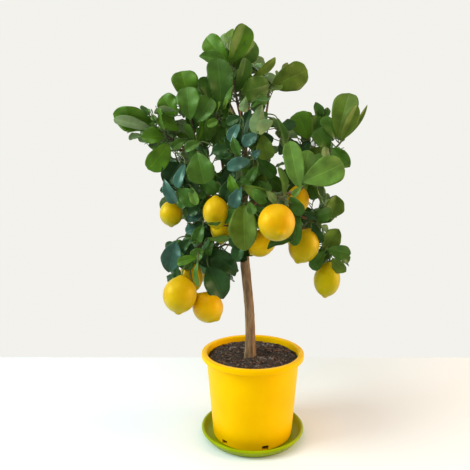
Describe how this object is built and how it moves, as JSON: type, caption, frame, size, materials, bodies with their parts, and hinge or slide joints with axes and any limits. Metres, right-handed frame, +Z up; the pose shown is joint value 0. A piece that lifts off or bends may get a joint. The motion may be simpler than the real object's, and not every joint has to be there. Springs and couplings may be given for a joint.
{
  "type": "potted lemon tree",
  "caption": "Young lemon tree with a bare trunk, arching boughs, broad leaves and hanging lemons, in a tapered round pot on a shallow saucer.",
  "frame": {"origin": "middle of the saucer's flat underside, where the whole stands", "axes": "+Z up along the trunk, +X to the right as seen from the front, +Y to the back"},
  "size_m": [0.4865, 0.3986, 0.8603],
  "materials": {
    "pot_plastic": "satin",
    "saucer_plastic": "satin",
    "soil": "matte",
    "bark": "matte",
    "foliage": "satin"
  },
  "bodies": {
    "root": {"saucer": "saucer_plastic", "pot": "pot_plastic", "soil": "soil", "trunk": "bark", "bough_mid": "bark", "bough_left": "bark", "bough_right": "bark", "bough_back": "bark", "bough_centre": "bark", "bough_mid_left": "bark", "bough_low_right": "bark", "bough_front_right": "bark", "bough_front": "bark", "bough_front_left": "bark", "bough_low_left": "bark", "bough_low_inner": "bark", "bough_back_left": "bark", "bough_back_right": "bark", "bough_low_back_left": "bark", "bough_low_back_right": "bark", "bough_crest": "bark", "bough_high_right": "bark", "bough_high_back": "bark", "bough_top_right": "bark", "bough_upper_left": "bark", "bough_left_down": "bark", "bough_left_inner": "bark", "bough_crest_left": "bark", "bough_high_centre": "bark", "bough_centre_right": "bark", "bough_right_inner": "bark", "bough_pendant": "bark", "foliage_top": "foliage", "foliage_plume": "foliage", "foliage_high_leaf": "foliage", "foliage_top_right": "foliage", "foliage_upper_left": "foliage", "foliage_far_left": "foliage", "foliage_left_down": "foliage", "foliage_left_inner": "foliage", "foliage_centre": "foliage", "foliage_centre_right": "foliage", "foliage_crest_left": "foliage", "foliage_high_centre": "foliage", "foliage_right_top": "foliage", "foliage_right_inner": "foliage", "foliage_front_right": "foliage", "foliage_low_right": "foliage", "foliage_pendant": "foliage", "foliage_front": "foliage", "foliage_front_left": "foliage", "foliage_mid_left": "foliage", "foliage_low_left": "foliage", "foliage_low_inner": "foliage", "foliage_back": "foliage", "foliage_high_back": "foliage", "foliage_back_left": "foliage", "foliage_back_right": "foliage", "foliage_low_back_left": "foliage", "foliage_low_back_right": "foliage"}
  },
  "joints": []
}
